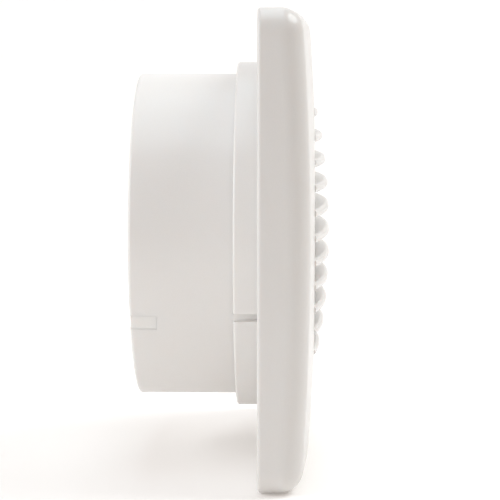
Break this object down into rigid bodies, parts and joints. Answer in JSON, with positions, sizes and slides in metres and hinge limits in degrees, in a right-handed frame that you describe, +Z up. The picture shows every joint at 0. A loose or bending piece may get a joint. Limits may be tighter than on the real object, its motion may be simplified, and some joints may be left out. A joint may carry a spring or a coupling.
{
  "type": "bathroom extractor fan",
  "caption": "White square axial extractor fan for a wall or ceiling, with a domed louvre grille and a round duct spigot behind it.",
  "frame": {"origin": "on the fan's axis in the wall plane, where the back plate and the cover's rear edge meet the wall", "axes": "+Y along the fan's axis into the wall towards the duct, -Y towards the room, +Z up, +X to the right as seen from the room"},
  "size_m": [0.135, 0.0579, 0.135],
  "materials": {
    "white_cover": "moulded satin white",
    "white_housing": "moulded satin white",
    "white_duct": "moulded satin white",
    "white_ring": "moulded satin white",
    "white_carrier": "moulded white",
    "white_shutter": "moulded white",
    "flap_plastic": "thin moulded white",
    "impeller_plastic": "moulded off-white",
    "screw_steel": "zinc plated",
    "terminal_screw_steel": "zinc plated, slotted",
    "spring_steel": "blued spring steel",
    "shaft_steel": "ground",
    "lamination_steel": "stacked electrical steel",
    "cast_aluminium": "die cast",
    "bush_bronze": "sintered bronze",
    "brass": "turned brass",
    "winding_copper": "enamelled copper wire",
    "shading_copper": "bare copper",
    "bobbin_nylon": "natural nylon",
    "terminal_nylon": "natural nylon",
    "clamp_plastic": "moulded nylon",
    "washer_fibre": "red fibre",
    "grommet_rubber": "soft black",
    "brown_lead": "brown insulation",
    "blue_lead": "blue insulation"
  },
  "bodies": {
    "fan_body": {"front_cover": "white_cover", "cover_screw": "screw_steel", "back_plate": "white_housing", "step_ring": "white_ring", "duct_tube": "white_duct", "cable_grommet": "grommet_rubber", "cable_clamp": "clamp_plastic", "cable_clamp_screws": "screw_steel", "terminal_block": "terminal_nylon", "terminal_clamps": "brass", "terminal_screws": "terminal_screw_steel", "terminal_block_screw": "screw_steel", "motor_carrier": "white_carrier", "carrier_screws": "screw_steel", "stator_core": "lamination_steel", "coil_bobbins": "bobbin_nylon", "coil_windings": "winding_copper", "shading_rings": "shading_copper", "front_bearing_bracket": "cast_aluminium", "rear_bearing_bracket": "cast_aluminium", "front_bush": "bush_bronze", "rear_bush": "bush_bronze", "motor_screws": "screw_steel", "live_lead": "brown_lead", "neutral_lead": "blue_lead", "shutter_frame": "white_shutter"},
    "rotor": {"motor_shaft": "shaft_steel", "rotor_core": "lamination_steel", "rotor_end_rings": "cast_aluminium", "thrust_washers": "washer_fibre", "impeller": "impeller_plastic", "impeller_clip": "spring_steel"},
    "flap": {"shutter_flap": "flap_plastic"}
  },
  "joints": [
    {"name": "impeller_spin", "type": "hinge", "parent": "fan_body", "child": "rotor", "pos_m": [0, 0, 0], "axis": [0, 1, 0], "continuous": true},
    {"name": "flap_swing", "type": "hinge", "parent": "fan_body", "child": "flap", "pos_m": [0, 0.0332, 0.038], "axis": [1, 0, 0], "range_deg": [0, 55]}
  ]
}
